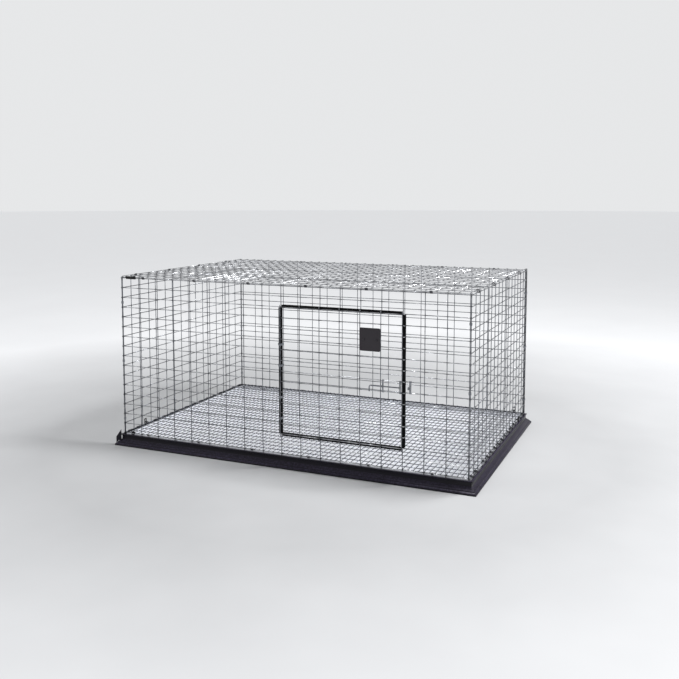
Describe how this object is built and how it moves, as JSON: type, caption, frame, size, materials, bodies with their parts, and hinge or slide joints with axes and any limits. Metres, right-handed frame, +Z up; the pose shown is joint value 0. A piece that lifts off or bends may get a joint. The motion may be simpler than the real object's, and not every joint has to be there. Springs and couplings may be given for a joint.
{
  "type": "rabbit hutch",
  "caption": "Welded-wire rabbit hutch on an open black base frame, with a side-hinged mesh door, a sliding bolt and a blank name plate.",
  "frame": {"origin": "centre of the footprint, on the table", "axes": "+X to the right seen from the door, along the length; +Y to the back; +Z up"},
  "size_m": [0.9588, 0.6456, 0.4436],
  "materials": {
    "galvanised_wire": "galvanised, satin",
    "zinc_clip": "zinc plated, satin",
    "black_base": "moulded, low sheen",
    "white_tray": "white coated, satin",
    "black_vinyl": "extruded vinyl, satin",
    "black_metal": "black coated, satin",
    "plate": "dark enamel, satin"
  },
  "bodies": {
    "cage": {"front_panel": "galvanised_wire", "back_panel": "galvanised_wire", "left_side_panel": "galvanised_wire", "right_side_panel": "galvanised_wire", "top_panel": "galvanised_wire", "floor_panel": "galvanised_wire", "top_clips": "zinc_clip", "floor_clips": "zinc_clip", "corner_clips": "zinc_clip", "hinge_bands": "zinc_clip", "latch_keeper": "zinc_clip", "base_corner_screws": "zinc_clip", "base_rail_front": "black_base", "base_rail_back": "black_base", "base_rail_left": "black_base", "base_rail_right": "black_base", "base_corner_keys": "black_base", "base_corner_fin": "black_base", "droppings_tray": "white_tray", "opening_guard_left": "black_vinyl", "opening_guard_right": "black_vinyl", "opening_guard_top": "black_vinyl", "opening_guard_bottom": "black_vinyl", "hold_down_tabs": "black_metal", "rear_corner_rod": "black_metal", "top_corner_clip": "black_metal"},
    "door": {"door_panel": "galvanised_wire", "name_plate": "plate", "name_plate_backing": "zinc_clip", "name_plate_rivets": "plate", "latch_guides": "zinc_clip"},
    "bolt": {"latch_bolt": "zinc_clip"}
  },
  "joints": [
    {"name": "door_hinge", "type": "hinge", "parent": "cage", "child": "door", "pos_m": [0, -0.311, 0.24], "axis": [0, 0, -1], "range_deg": [0, 160]},
    {"name": "bolt_slide", "type": "slide", "parent": "door", "child": "bolt", "axis": [1, 0, 0], "range_m": [0, 0.025]}
  ]
}
